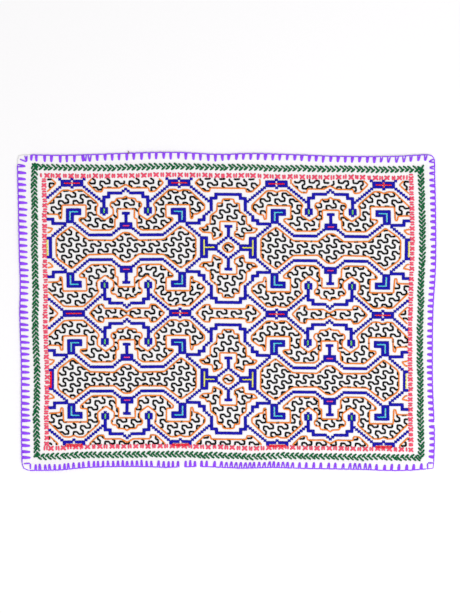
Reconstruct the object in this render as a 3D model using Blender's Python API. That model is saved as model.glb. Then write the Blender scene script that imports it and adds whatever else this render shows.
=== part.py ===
"""Embroidered cloth: one flat cotton sheet with a folded hem, lying face up.

Sizes are in millimetres where a name ends in _MM, and become metres when the points are placed.
+X runs to the cloth's right edge, +Y to its top edge and +Z up. The origin is on the surface that
the cloth lies on, under the middle of its outline.
"""

import math

import bmesh
import bpy

METRES_PER_MM = 0.001

# Driving sizes of the hemmed cloth
WIDTH_MM = 600.0
HEIGHT_MM = 455.0
FIELD_THICKNESS_MM = 1.2
HEM_THICKNESS_MM = 2.0
HEM_WIDTH_MM = 10.0
HEM_STEP_MM = 2.5

# The fold of the hem: how far in its round reaches, and how far it takes down each face at the rim
FOLD_ROUND_MM = 1.2
FOLD_DROP_TOP_MM = 0.5
FOLD_RISE_UNDER_MM = 0.4

# Soft unevenness of the upper face
UNEVEN_MM = 0.12
UNEVEN_WAVES = (
    # wavelength_x_mm, wavelength_y_mm, phase
    (170.0, 260.0, 0.4),
    (-95.0, 120.0, 2.1),
    (310.0, -150.0, 4.4),
)

# How far in from the rim a ripple of the edge fades out, and the spacing of the mesh's lines
RIPPLE_REACH_MM = 34.0
LINE_SPACING_MM = 22.0

# How far each edge stands outside the plain rectangle, in the order along the edge
EDGE_OFFSETS = {
    # along_mm (from the edge's middle), outward_mm
    "top": (
        (-280.0, -1.2),
        (-240.0, -2.0),
        (-190.0, -0.8),
        (-150.0, 0.8),
        (-100.0, 2.1),
        (-65.0, 2.1),
        (-10.0, -0.8),
        (30.0, 0.6),
        (90.0, -0.8),
        (160.0, -3.4),
        (245.0, -3.6),
        (280.0, -1.0),
    ),
    "bottom": (
        (-275.0, 2.6),
        (-250.0, 2.4),
        (-205.0, -1.6),
        (-137.0, -3.0),
        (-85.0, -1.8),
        (-41.0, -3.0),
        (28.0, -0.4),
        (63.0, -1.6),
        (106.0, -0.3),
        (193.0, 1.2),
        (228.0, 2.6),
        (262.0, 2.6),
        (285.0, 0.6),
    ),
    "left": (
        (-213.0, -3.6),
        (-184.0, -2.8),
        (-83.0, -2.8),
        (-39.0, -1.4),
        (4.0, -0.2),
        (33.0, -1.3),
        (76.0, 0.1),
        (149.0, 1.5),
        (206.0, 3.0),
    ),
    "right": (
        (-213.0, -1.0),
        (-184.0, 0.1),
        (-141.0, -1.4),
        (-112.0, -2.8),
        (-25.0, -2.8),
        (18.0, -1.4),
        (62.0, 1.5),
        (149.0, 1.5),
        (206.0, 0.1),
    ),
}

# How round each corner is: 1 is a quarter circle as wide as the hem, 0 a square corner
CORNER_ROUNDNESS = {
    ("left", "top"): 0.75,
    ("right", "top"): 0.85,
    ("left", "bottom"): 1.0,
    ("right", "bottom"): 0.5,
}

# Low ripples, where the edge stands a little off the surface
EDGE_RIPPLES = (
    # edge, middle_mm (along the edge), length_mm, lift_mm
    ("top", -92.0, 90.0, 0.9),
    ("top", 40.0, 70.0, 0.6),
    ("top", 236.0, 80.0, 1.0),
    ("bottom", -232.0, 80.0, 0.9),
    ("bottom", -60.0, 110.0, 0.5),
    ("bottom", 242.0, 80.0, 0.8),
    ("left", 120.0, 100.0, 0.7),
    ("left", -118.0, 90.0, 0.5),
    ("right", 98.0, 90.0, 0.8),
    ("right", -150.0, 80.0, 0.5),
)

CLOTH_COLOUR = (0.93, 0.90, 0.91, 1.0)
CLOTH_ROUGHNESS = 0.9
SHARP_ANGLE_DEG = 60.0


def clear_scene():
    """Removes every object of the scene."""
    for found in list(bpy.data.objects):
        bpy.data.objects.remove(found, do_unlink=True)


def clamp(value, low=0.0, high=1.0):
    return max(low, min(high, value))


def smooth_step(share):
    share = clamp(share)
    return share * share * (3.0 - 2.0 * share)


def curve_value(table, along):
    """The smooth curve through a table of (along, value) rows, level beyond its ends."""
    if along <= table[0][0]:
        return table[0][1]
    if along >= table[-1][0]:
        return table[-1][1]
    row = max(index for index, (start, _) in enumerate(table) if start <= along)
    before, here = table[max(row - 1, 0)], table[row]
    after, beyond = table[row + 1], table[min(row + 2, len(table) - 1)]
    span = after[0] - here[0]
    slope_here = span * (after[1] - before[1]) / (after[0] - before[0])
    slope_after = span * (beyond[1] - here[1]) / (beyond[0] - here[0])
    share = (along - here[0]) / span
    square, cube = share**2, share**3
    return (
        here[1] * (2.0 * cube - 3.0 * square + 1.0)
        + slope_here * (cube - 2.0 * square + share)
        + after[1] * (3.0 * square - 2.0 * cube)
        + slope_after * (cube - square)
    )


def line_places(length_mm):
    """Places of the mesh's lines across the cloth: close together in the hem, even in the field."""
    in_hem = [0.0, FOLD_ROUND_MM, HEM_WIDTH_MM / 2.0, HEM_WIDTH_MM]
    in_hem.append(HEM_WIDTH_MM + HEM_STEP_MM)
    in_hem.append(RIPPLE_REACH_MM)
    field = length_mm - 2.0 * RIPPLE_REACH_MM
    count = round(field / LINE_SPACING_MM)
    inner = [RIPPLE_REACH_MM + field * step / count for step in range(1, count)]
    far_hem = [length_mm - place for place in reversed(in_hem)]
    return [place - length_mm / 2.0 for place in in_hem + inner + far_hem]


def sides_of(x, y):
    return "right" if x > 0.0 else "left", "top" if y > 0.0 else "bottom"


def rounded_corner(x, y):
    """Moves a point of a corner's square block so that the block's outer corner becomes round."""
    corner = sides_of(x, y)
    from_block_x = (abs(x) - WIDTH_MM / 2.0) / HEM_WIDTH_MM + 1.0
    from_block_y = (abs(y) - HEIGHT_MM / 2.0) / HEM_WIDTH_MM + 1.0
    if from_block_x <= 0.0 or from_block_y <= 0.0:
        return x, y
    pull = CORNER_ROUNDNESS[corner] / 2.0
    round_x = from_block_x * math.sqrt(1.0 - pull * from_block_y**2)
    round_y = from_block_y * math.sqrt(1.0 - pull * from_block_x**2)
    new_x = WIDTH_MM / 2.0 + (round_x - 1.0) * HEM_WIDTH_MM
    new_y = HEIGHT_MM / 2.0 + (round_y - 1.0) * HEM_WIDTH_MM
    return math.copysign(new_x, x), math.copysign(new_y, y)


def outline_place(x, y):
    """The place in plan, in mm, of a point of the plain rectangle."""
    x, y = rounded_corner(x, y)
    side_x, side_y = sides_of(x, y)
    out_x = curve_value(EDGE_OFFSETS[side_x], y) * abs(x) / (WIDTH_MM / 2.0)
    out_y = curve_value(EDGE_OFFSETS[side_y], x) * abs(y) / (HEIGHT_MM / 2.0)
    return x + out_x * math.copysign(1.0, x), y + out_y * math.copysign(1.0, y)


def from_rim(x, y):
    """Distance in mm of a point of the plain rectangle from its nearest edge."""
    return min(WIDTH_MM / 2.0 - abs(x), HEIGHT_MM / 2.0 - abs(y))


def ripple_lift(x, y):
    """How far, in mm, the ripples of the edges lift a point."""
    inward = {
        "top": (HEIGHT_MM / 2.0 - y, x),
        "bottom": (HEIGHT_MM / 2.0 + y, x),
        "right": (WIDTH_MM / 2.0 - x, y),
        "left": (WIDTH_MM / 2.0 + x, y),
    }
    lift = 0.0
    for edge, middle_mm, length_mm, lift_mm in EDGE_RIPPLES:
        distance, along = inward[edge]
        across = smooth_step(1.0 - distance / RIPPLE_REACH_MM)
        along_share = smooth_step(1.0 - abs(along - middle_mm) / (length_mm / 2.0))
        lift += lift_mm * across * along_share
    return lift


def unevenness(x, y):
    waves = (
        math.sin(2.0 * math.pi * (x / wave_x + y / wave_y) + phase)
        for wave_x, wave_y, phase in UNEVEN_WAVES
    )
    return UNEVEN_MM * sum(waves) / len(UNEVEN_WAVES)


def upper_height(x, y):
    inside = from_rim(x, y)
    hem_share = smooth_step((HEM_WIDTH_MM + HEM_STEP_MM - inside) / HEM_STEP_MM)
    thickness = FIELD_THICKNESS_MM + (HEM_THICKNESS_MM - FIELD_THICKNESS_MM) * hem_share
    fold_drop = FOLD_DROP_TOP_MM * clamp(1.0 - inside / FOLD_ROUND_MM)
    return thickness - fold_drop + unevenness(x, y) + ripple_lift(x, y)


def under_height(x, y):
    fold_rise = FOLD_RISE_UNDER_MM * clamp(1.0 - from_rim(x, y) / FOLD_ROUND_MM)
    return fold_rise + ripple_lift(x, y)


def ring_corners(columns, rows, ring):
    """The lines' crossings round one ring of the mesh, counted in from the rim, anticlockwise."""
    last_column, last_row = columns - 1 - ring, rows - 1 - ring
    around = [(column, ring) for column in range(ring, last_column)]
    around += [(last_column, row) for row in range(ring, last_row)]
    around += [(column, last_row) for column in range(last_column, ring, -1)]
    around += [(ring, row) for row in range(last_row, ring, -1)]
    return around


def quads_between(mesh, outer, inner_of):
    """Adds the faces between one closed loop of points and the loop that inner_of gives for it."""
    for index, start in enumerate(outer):
        end = outer[(index + 1) % len(outer)]
        mesh.faces.new((start, end, inner_of[end], inner_of[start]))


def build_cloth():
    """The cloth: an upper face of even quads, a lower face that is flat inside its ripples, a rim."""
    across = line_places(WIDTH_MM)
    along = line_places(HEIGHT_MM)
    columns, rows = len(across), len(along)
    flat_ring = across.index(RIPPLE_REACH_MM - WIDTH_MM / 2.0)
    places = {
        (column, row): outline_place(across[column], along[row])
        for column in range(columns)
        for row in range(rows)
    }
    middle_x = (max(x for x, _ in places.values()) + min(x for x, _ in places.values())) / 2.0
    middle_y = (max(y for _, y in places.values()) + min(y for _, y in places.values())) / 2.0

    def add_point(mesh, crossing, height_mm):
        x, y = places[crossing]
        point = (x - middle_x, y - middle_y, height_mm)
        return mesh.verts.new([value * METRES_PER_MM for value in point])

    mesh = bmesh.new()
    upper = {
        (column, row): add_point(mesh, (column, row), upper_height(across[column], along[row]))
        for column in range(columns)
        for row in range(rows)
    }
    for column in range(columns - 1):
        for row in range(rows - 1):
            corners = ((column, row), (column + 1, row), (column + 1, row + 1), (column, row + 1))
            mesh.faces.new([upper[corner] for corner in corners])

    under = {}
    for ring in range(flat_ring + 1):
        for column, row in ring_corners(columns, rows, ring):
            height = under_height(across[column], along[row])
            under[(column, row)] = add_point(mesh, (column, row), height)
    for column in range(columns - 1):
        for row in range(rows - 1):
            corners = ((column, row), (column, row + 1), (column + 1, row + 1), (column + 1, row))
            if all(corner in under for corner in corners):
                mesh.faces.new([under[corner] for corner in corners])
    flat_loop = ring_corners(columns, rows, flat_ring)
    mesh.faces.new([under[corner] for corner in reversed(flat_loop)])

    rim = ring_corners(columns, rows, 0)
    quads_between(mesh, [under[corner] for corner in rim], {under[c]: upper[c] for c in rim})

    data = bpy.data.meshes.new("cloth")
    mesh.to_mesh(data)
    mesh.free()
    data.shade_smooth()
    data.set_sharp_from_angle(angle=math.radians(SHARP_ANGLE_DEG))
    cloth = bpy.data.objects.new("cloth", data)
    bpy.context.scene.collection.objects.link(cloth)
    return cloth


def white_cotton():
    """Bleached plain-woven cotton, dull and a little off white."""
    material = bpy.data.materials.new("white_cotton")
    material.use_nodes = True
    shader = material.node_tree.nodes["Principled BSDF"]
    shader.inputs["Base Color"].default_value = CLOTH_COLOUR
    shader.inputs["Roughness"].default_value = CLOTH_ROUGHNESS
    shader.inputs["Metallic"].default_value = 0.0
    return material


def main():
    clear_scene()
    cloth = build_cloth()
    cloth.data.materials.append(white_cotton())


main()
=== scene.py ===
"""Dresses the embroidered cloth: a hemmed cotton sheet with seven kinds of hand stitching.

Sizes whose names end in _MM are in millimetres, and the meshes are in metres. The pattern is a
counted one: its places are (column, row) counts, with column 0 down the cloth's middle, row 0 along
the middle row of boxes, columns counted to the right and rows downwards.
"""

import functools
import math

import bpy
import numpy as np
from bpy.props import FloatProperty, FloatVectorProperty, PointerProperty
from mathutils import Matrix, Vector
from mathutils.bvhtree import BVHTree


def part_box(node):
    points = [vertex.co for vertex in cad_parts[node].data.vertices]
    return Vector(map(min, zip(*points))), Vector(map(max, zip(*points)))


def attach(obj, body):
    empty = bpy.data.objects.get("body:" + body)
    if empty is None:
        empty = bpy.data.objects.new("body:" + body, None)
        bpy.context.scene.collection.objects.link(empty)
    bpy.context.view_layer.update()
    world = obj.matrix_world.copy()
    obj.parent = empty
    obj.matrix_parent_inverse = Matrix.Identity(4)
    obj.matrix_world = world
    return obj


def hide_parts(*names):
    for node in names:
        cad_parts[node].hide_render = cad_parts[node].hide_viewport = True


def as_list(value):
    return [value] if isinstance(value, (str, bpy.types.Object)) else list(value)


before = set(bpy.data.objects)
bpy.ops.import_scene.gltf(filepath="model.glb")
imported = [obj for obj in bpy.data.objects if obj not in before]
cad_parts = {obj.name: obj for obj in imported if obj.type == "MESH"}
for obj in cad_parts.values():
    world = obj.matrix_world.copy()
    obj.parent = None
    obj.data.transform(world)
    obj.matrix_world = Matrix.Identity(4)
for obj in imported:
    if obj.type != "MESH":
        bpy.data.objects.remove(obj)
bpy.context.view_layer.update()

bl_info = {
    "name": "Embroidered Cloth",
    "version": (1, 0, 0),
    "blender": (4, 5, 0),
    "location": "3D View > Sidebar > Cloth",
    "description": "Builds a hemmed cotton cloth with counted embroidery and its studio stage",
    "category": "Object",
}

MM = 0.001

# Sheet: the solid's node, its hemmed size, and the spacing of the mesh that stands for it
SHEET_NODE = "cloth"
HEMMED_SIZE_MM = (600.0, 455.0)
SHEET_CELL_MM = 2.9
HEM_RINGS_MM = (0.0, 0.5, 1.2, 2.6, 5.0, 7.6, 9.2, 10.4, 11.6, 12.8)
FLAT_UNDERSIDE_RING = 9
FIELD_GRID_MM = 2.0
FIELD_MARGIN_MM = 4.0
GRID_MARGIN_MM = 1.0
RIM_SEARCH_MM = 6.0
RIM_REACH_MM = 45.0
CORNER_FAN = 7
HEM_REACH_MM = 30.0
# At the rim the solid's faces are read this far inwards, and take these heights where it has none
RIM_READ_MM = 0.15
RIM_HALVINGS = 16
RIM_HEIGHTS_MM = (1.0, 0.5)
PUCKER_MM = 0.28
PUCKER_REST = 0.35
WEAVE_SPACING_MM = 0.8

# Counted ground: the size of one count, and where column 0 and row 0 cross
COLUMN_MM = 3.5046
ROW_MM = 2.8967
PATTERN_MIDDLE_MM = (2.5, -3.5)
FIELD_COLUMNS = (-74.2, 74.3)
FIELD_ROWS = (-67.4, 65.4)

# How the hand-worked counts wander
ROW_DROP = (
    # column, drop_mm
    (-75, -0.3), (-64, -0.7), (-42, -0.9), (-20, -1.4), (0, -0.4), (20, 0.3), (42, 1), (64, 2.1),
    (75, 2.2),
)
ROW_DRIFT = (
    # row, drop_mm
    (-67, 0), (-62, 0), (-55, -0.2), (-49, -0.3), (-43.6, -0.4), (-39, -0.3), (-32.5, -1.4), (-26, -2.3),
    (-21.4, -1.7), (-15, -0.6), (0, 0), (15, 0.8), (21.4, 1.6), (26, 2.2), (32.5, 1), (39, -0.5),
    (43.6, -0.9), (50, 0.6), (65, 0.4),
)
LEFT_SHIFT = (
    # row, shift_mm
    (-67, -2), (-50, -1.4), (-32, -1.4), (-14, -0.4), (0, 1.2), (14, 0.5), (28, 1.6), (50, 1), (66, 1.2),
)
RIGHT_SHIFT = (
    # row, shift_mm
    (-67, 0.1), (-60, 1.1), (-43, 1.8), (-31, 1.6), (-14, 0.3), (5, -1.5), (28, -1), (40, -1.2),
    (58, -0.4), (66, 0.4),
)

# The pattern repeats by mirrors. Its cell is drawn about a box: columns -22 (the middle of a
# dumbbell) to 20 (the middle of a cross), and rows 0 to 32.5 (halfway to the next row of boxes).
DUMBBELL_MIRROR = -22
CROSS_MIRROR = 20
ROW_MIRROR = 32.5
MIRROR_REACH = 3
BOX_COLUMNS = ((-64, -1), (-20, 1), (20, -1), (64, 1))
BOX_ROWS = (-65, 0, 65)
OUTER_BOX_COLUMN = 64
# Where the hand-worked cloth leaves its own pattern, in counts of the whole field
CROSSES_LEFT_OUT = ((15, -67), (25, -67), (-64, -2), (-64, 2))
CROSSES_ADDED = ((-64, -1), (-64, 1))
OUTLINE_GAPS = (
    # from_column, from_row, to_column, to_row
    (-47, -69, -37, -65.3), (37, -69, 47, -65.3), (-99, -69, 99, -67.1), (10, -69, 14, -65.2),
    (26, -69, 30, -65.2), (-65.7, -5, -62.3, -3.2), (-65.7, 3.2, -62.3, 5),
)
OUTLINES_ADDED = (
    ((13.3, -65), (13.2, -67.2)), ((26, -65), (26, -67.2)), ((-65.7, -3.4), (-62.3, -3.4)),
    ((-65.7, 3.4), (-62.3, 3.4)),
)
# The steps of the navy line at the field's sides: where they begin, how far their level part stands
# higher and its row from the box, and where their upright part, which is left out, stands
SIDE_STEP_COLUMN = 71.5
SIDE_STEP_RISE = 0.5
SIDE_STEP_LEVEL_ROW = 18.5
SIDE_STEP_UPRIGHT = (73.4, 17.1)
SIDE_STEP_UPRIGHT_REACH = 1.2
# The bays at the field's sides run on over its edge: corners of the cell, and where they go there
SIDE_BAY_CORNERS = (((10.3, 10.9), (13, 14.1)), ((10.3, 13), (13, 15.4)))
BRIGHT_ADDED = (
    # thread, column, row, to_column, to_row; the brown one is a loose end at the cloth's top edge
    ("brown", -40.9, -79.3, -40.6, -80.9), ("yellow", -74.3, -36.6, -74.3, -28.4),
    ("red", -73.8, 28.2, -73.8, 37), ("red", -73.4, 28.2, -73.4, 37), ("yellow", 74, -36.6, 74, -28.4),
    ("yellow", 73.6, 28.4, 73.6, 36.6), ("red", 64, -66.3, 64, -63.7),
    *(("red", column - 3.4, row, column + 3.4, row) for row in (65.3, 66.1) for column, _ in BOX_COLUMNS),
)

# Navy cross-stitch: the paths of the cell
NAVY_PATHS = (
    # (column, row) of each corner
    ((-4, 1), (-1, 1)), ((1, 1), (4, 1)), ((0, 2), (0, 2)), ((-4, 0), (-4, 1)), ((4, 0), (4, 1)),
    ((-5, 2), (-12, 9)), ((5, 2), (12, 9)), ((-22, 3), (-21, 4)),
    ((-20, 5), (-15, 5), (-15, 7), (-13, 7), (-13, 12)), ((-14, 12.8), (-14, 14.8)),
    ((-12, 12.8), (-12, 14.8)), ((-13, 15.7), (-13, 15.7)), ((-3, 13.35), (2, 13.35), (2, 19.35)),
    ((0, 19.35), (2, 19.35)), ((0, 15.35), (0, 19.35)), ((-3, 15.35), (0, 15.35)),
    ((-3, 13.35), (-3, 15.35)), ((-1, 20.3), (-6, 25.2)), ((-7, 26), (-16, 26)), ((-17, 25), (-19, 23)),
    ((-20, 20.4), (-22, 20.4)), ((-20, 22.4), (-22, 22.4)), ((-20, 20.4), (-20, 22.4)),
    ((-22, 16), (-22, 19.5)), ((-22, 15.2), (-21, 15.2)),
    ((20, 5.5), (15, 5.5), (15, 7.5), (13, 7.5), (13, 13.5)), ((12, 14.5), (11, 15.5)),
    ((10, 16.5), (10, 18.5), (8, 18.5), (8, 20.2), (3, 20.2)), ((3, 21.2), (8, 26.2)),
    ((9, 27.5), (9, 32.5)), ((9, 27.5), (11, 27.5), (11, 31.5), (15, 31.5), (15, 32.5)),
    ((16, 30.5), (19, 27.5)), ((20, 22.5), (20, 26.5)), ((20, 21.6), (19, 21.6)),
)

# Bright fills inside the navy shapes: a thread's name, and a line from one count to another
BRIGHT_LINES = (
    # thread, column, row, to_column, to_row
    ("red", -3.2, 0, 3.2, 0), ("turquoise", -2.3, 14.35, 1, 14.35), ("turquoise", 1, 14.35, 1, 18.6),
    ("yellow", 10, 28.6, 10, 32.5), ("yellow", 10.6, 32.5, 14.2, 32.5),
    ("leaf_green", -13, 12.8, -13, 15), ("magenta", -22, 21.4, -20.8, 21.4),
)

# Orange outlines: each closes by mirrors into a loop, which the black fill stays inside
OUTLINE_CHAINS = {
    "lobed_band": ((-6.4, 0), (-10, 4.2), (-12.3, 4.4), (-12.6, 2.4), (-19.4, 2.5), (-22, 0.7)),
    "scalloped_bay": (
        (-22, 6.5), (-21, 7.6), (-18.2, 7.7), (-17.6, 9.5), (-16.2, 9.4), (-15.6, 10.5),
        (-15.6, 11.8), (-16.8, 13), (-16.8, 15.8), (-13.3, 18.6), (-9.9, 15.7), (-9.9, 12.3),
        (-10.7, 10.9), (-9.8, 9.4), (-4.1, 3.4), (-1.6, 3.4), (0, 4.3), (1.6, 3.4), (4.1, 3.6),
        (10.3, 10.9), (10.3, 13), (7.4, 15.5), (5.6, 15.7), (5.3, 17.9), (4.5, 17.9), (4.2, 11),
        (-5.7, 11), (-5.6, 17.4), (-2.9, 17.6), (-2.7, 18.7), (-7.7, 23.6), (-15.5, 23.6),
        (-17.4, 22.2), (-17.5, 17.9), (-18.6, 17.8), (-18.5, 13), (-22, 13),
    ),
    "dumbbell": (
        (6.6, 32.5), (6.65, 28.1), (5.7, 26.2), (0.4, 21.75), (-6.6, 28.6), (-16.7, 28.9),
        (-20.6, 25), (-22, 24.8),
    ),
    "plain_band": ((6.5, 0), (10.1, 4.1), (12.4, 4.3), (12.7, 2.4), (20, 2.4)),
    "bell": (
        (20, 7.8), (17.7, 8), (17.5, 10), (15.5, 10), (15.3, 14), (12.7, 16.3),
        (12.5, 20.6), (10.9, 20.8), (10.5, 22.2), (7.9, 22.7), (9.4, 24.6), (13.3, 24.9),
        (13.75, 28.6), (17.35, 26.5), (17.5, 24.3), (16.5, 23.9), (16.5, 19.15), (20, 19.15),
    ),
    "eye": ((17.5, 32.5), (18.6, 30.6), (20, 29.8)),
}
# Which side of the box each outline lies on, and whether it closes about the rows too
OUTLINE_MIRRORS = {
    # name: (column mirror, row mirror or None)
    "lobed_band": (DUMBBELL_MIRROR, 0),
    "scalloped_bay": (DUMBBELL_MIRROR, None),
    "dumbbell": (DUMBBELL_MIRROR, ROW_MIRROR),
    "plain_band": (CROSS_MIRROR, 0),
    "bell": (CROSS_MIRROR, None),
    "eye": (CROSS_MIRROR, ROW_MIRROR),
}
CORNER_CUT = 0.45
CORNER_SHARE = 0.35

# Black meander: one step of its line, which runs down to the left, and the distance between lines
MEANDER_STEP = ((0, 0), (0, 1.65), (-1.75, 1.8), (-2.4, 0.7), (-3.9, 0.65), (-4, 2.45))
UPRIGHT_MIDDLE = 0.8
MEANDER_STITCH = 1.3
MEANDER_SHIFT = (-3, 3)
MEANDER_LINE_GAP = 6
START_REACH = (15, 8)
# The fill is worked anew in each outline: where one of its upright stitches stands, and whether its
# lines lean the other way. An outline whose halves don't agree has a start for each, with the columns
# that it stays between. The small ends of the bells at the field's sides stay plain.
MEANDER_STARTS = {
    # outline: (its column, its row, upright_column, upright_row, from_column, to_column, mirrored)
    "lobed_band": (
        (-42, -65, -48.5, -65.7), (42, -65, 39.6, -66.6, -99, 99, True),
        (-42, 0, -46.7, -1.2, -99, -42), (-42, 0, -36.6, -0.7, -42, 99), (42, 0, 44.4, -0.6),
        (-42, 65, -35.2, 64), (42, 65, 34.2, 64.1, -99, 42), (42, 65, 50.3, 64.2, 42, 99),
    ),
    "scalloped_bay": (
        (-42, -50, -56.6, -53, -99, -48), (-42, -50, -26.6, -48.9, -48, 99), (42, -50, 44.2, -54.2),
        (-42, -15, -56.3, -15.1, -99, -39), (-42, -15, -27.7, -10, -39, 99, True),
        (42, -15, 43.5, -11.2), (-42, 15, -43.6, 8.4), (42, 15, 41.3, 9.4), (-42, 50, -39.2, 56.1),
        (42, 50, 27.5, 47.1, -99, 37), (42, 50, 52.8, 45.8, 37, 99),
    ),
    "dumbbell": (
        (-42, -32, -40.4, -34.1), (42, -32, 38.3, -34.1), (-42, 32, -40.5, 26.2), (42, 32, 44.1, 27.2),
    ),
    "plain_band": (
        (0, -65, -4.3, -65), (-84, -65, -72.3, -67.9), (84, -65, 73.5, -63.6), (0, 0, -0.7, -0.8),
        (-84, 0, -72.7, -1), (84, 0, 73.3, -1.4), (0, 65, 0.5, 64.1), (-84, 65, -71.2, 64.7),
        (84, 65, 73.2, 64.1),
    ),
    "bell": ((0, -50, 0.5, -51.4), (0, -15, -0.3, -18), (0, 15, 1.2, 14.1), (0, 50, 0.7, 50.3)),
    "eye": ((0, -32, 2.6, -33.8), (0, 32, 1.9, 32.2)),
}

# Borders: their middle lines, as half sizes about a middle, and how the hand-worked lines sway
BORDER_MIDDLE_MM = (2.45, -0.35)
PINK_HALF_MM = (263.9, 196.1)
GREEN_HALF_MM = (278.4, 208.1)
BORDER_SIDES = {
    # side: which half size, the way it runs, the way out of the cloth
    "top": (1, (1, 0), (0, 1)),
    "right": (0, (0, -1), (1, 0)),
    "bottom": (1, (-1, 0), (0, -1)),
    "left": (0, (0, 1), (-1, 0)),
}
BORDER_SWAY = {
    # side: (place along it, shift right or up), in mm
    "top": (
        (-272, 1.5), (-255, 0.7), (-220, 0), (-173, 0.2), (-127, 0.9), (-104, 2),
        (-35, 1.6), (-12, 0.5), (24, 1.2), (58, -0.3), (81, -1.2), (104, -0.9),
        (150, -1.9), (173, -1.2), (220, -2.8), (243, -2.7), (266, -1.9),
    ),
    "right": (
        (-187, 0.3), (-146, -0.8), (-106, -0.5), (-65, -1.3), (-25, -1.2), (16, -0.1),
        (56, 0.9), (77, 1.9), (117, 2.2), (158, 1.4), (198, 0.2),
    ),
    "bottom": (
        (-266, -1.5), (-243, -1.2), (-220, 0.6), (-150, 1.6), (-81, 1.9), (-58, 2.1),
        (-35, 0.7), (-12, 0.6), (11, -0.4), (35, -1.8), (58, -0.8), (81, 0.3),
        (116, -1.1), (150, -1.2), (196, -2.4), (220, -1.8), (243, -2.8), (266, -3),
    ),
    "left": (
        (-187, 1.5), (-146, 0.8), (-106, 1.9), (-85, 1.8), (-45, 0.1), (-4, -0.9),
        (16, 0), (56, -0.9), (97, -1.8), (158, -1.5), (178, -2.8), (198, -2),
    ),
}
PINK_CROSS_MM = (8.4, 7.4)
PINK_CROSS_UPRIGHT_MM = (7.8, 6.6)
PINK_BAR_MM = 7.4
PINK_BAR_GAP_MM = 3.1
PINK_BAR_SHARE = 0.86
PINK_WOBBLE_MM = 0.3
PINK_CROSS_WOBBLE_MM = 0.25
PINK_RUNS = (
    # side, first cross, last cross, number of crosses
    ("top", -260.3, 250, 30), ("right", 192.5, -200, 28), ("bottom", 253, -253.3, 30),
    ("left", -182.6, 182.3, 26),
)
PINK_CROSSES_ALONE = (("left", -191.2),)
PINK_BARS_ALONE = (
    ("top", -268.2), ("top", 256.2), ("top", 260.4), ("right", 198), ("bottom", 260.5),
    ("bottom", -259.4), ("bottom", -263), ("left", 188.1), ("left", 191.3),
)
CHEVRON_RUNS = (
    # side, from_mm, to_mm, pitch_mm
    ("top", -276.5, 281, 7.1), ("right", 206.5, -210.5, 5.95), ("bottom", 276, -272, 6.95),
    ("left", -205.5, 211.5, 5.95),
)
CHEVRON_HALF_MM = 4.5
CHEVRON_BACK_MM = 5.8
CHEVRON_BOW_MM = 0.8
# How far the tips of the outer arms go past the middle line and along it, and those of the inner arms
CHEVRON_TIPS_MM = ((1.4, 1.5), (1, 1))
CHEVRON_STAGGER = 0.45
CHEVRON_WOBBLE_MM = 0.22
CHEVRON_HALF_SPREAD = 0.06
CHEVRON_BACK_SPREAD = 0.08

# Purple blanket stitch over the edge
EDGING_RUNS = (
    # side, first leg, last leg, number of legs, leg_mm, spread_mm, lean_mm, strands in a leg
    ("top", -282, -274.6, 2, 9.6, 2.2, 0.3, 3),
    ("top", -263.4, -209, 6, 10.6, 3.2, 0.2, 3),
    ("top", -204.5, -197.9, 2, 10.6, 4.6, 0.6, 2),
    ("top", -187, -5.6, 18, 10.6, 3.2, 0.1, 3),
    ("top", 4, 214, 21, 9.6, 3.6, -1, 3),
    ("top", 224.6, 288.1, 7, 9.6, 4.4, -1.2, 2),
    ("right", 207.5, 190, 3, 8.2, 4.4, 0.2, 2),
    ("right", 181.4, -202, 45, 8.2, 4, 0.2, 3),
    ("right", -210.8, -210.8, 1, 8.2, 4, 0.2, 3),
    ("bottom", -276.2, -108.3, 25, 9.8, 3, -0.3, 2),
    ("bottom", -98.3, -70.6, 5, 9.8, 2.8, 0.2, 2),
    ("bottom", -59, -45.6, 3, 9.8, 2.8, 0.4, 3),
    ("bottom", -35.7, -28.9, 2, 9.8, 3, 0.6, 3),
    ("bottom", -17.9, -17.9, 1, 9.8, 3.2, 0.8, 3),
    ("bottom", -7.8, 95, 16, 9.6, 4.4, 1, 2),
    ("bottom", 105.1, 167.9, 7, 9.8, 3, 0.8, 2),
    ("bottom", 178, 206.9, 5, 9.8, 4.2, 0.4, 2),
    ("bottom", 216.6, 281, 7, 9.8, 3.2, 0.8, 3),
    ("left", 210.9, 210.9, 1, 12, 4.4, -1, 2),
    ("left", 201.2, -210.8, 48, 13, 3.2, -1, 3),
)
# How the legs vary: the place and lean in mm, the length as a share, and the width as least and most
LEG_PLACE_WOBBLE_MM = 0.4
LEG_LEAN_WOBBLE_MM = 0.3
LEG_LENGTH_SPREAD = 0.04
LEG_WIDTH_SHARES = (0.8, 1.15)
LEG_TIP_MM = 0.8
# Stitches of the corners, from a place on the cloth to one on its edge
EDGING_CORNERS = (
    # x, y, to_x, to_y
    (-288.9, 216, -299.5, 220.5), (-288.9, 216, -292, 226), (-288.9, 216, -288.3, 226),
    (-283.5, -219.3, -294, -220.2), (-283.5, -219.3, -283.5, -228.5), (290.4, -219, 299.5, -219),
    (290.4, -219, 290.6, -228.5), (292, 216.4, 300, 220.5), (292, 216.4, 300.5, 215),
)
# Stretches of the edge without its thread: side, from_mm, to_mm
EDGE_LINE_GAPS = (
    ("bottom", -68, -61), ("bottom", -44, -37.5), ("right", -166, -161), ("top", -303, -290),
    ("left", 214, 230),
)

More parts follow.
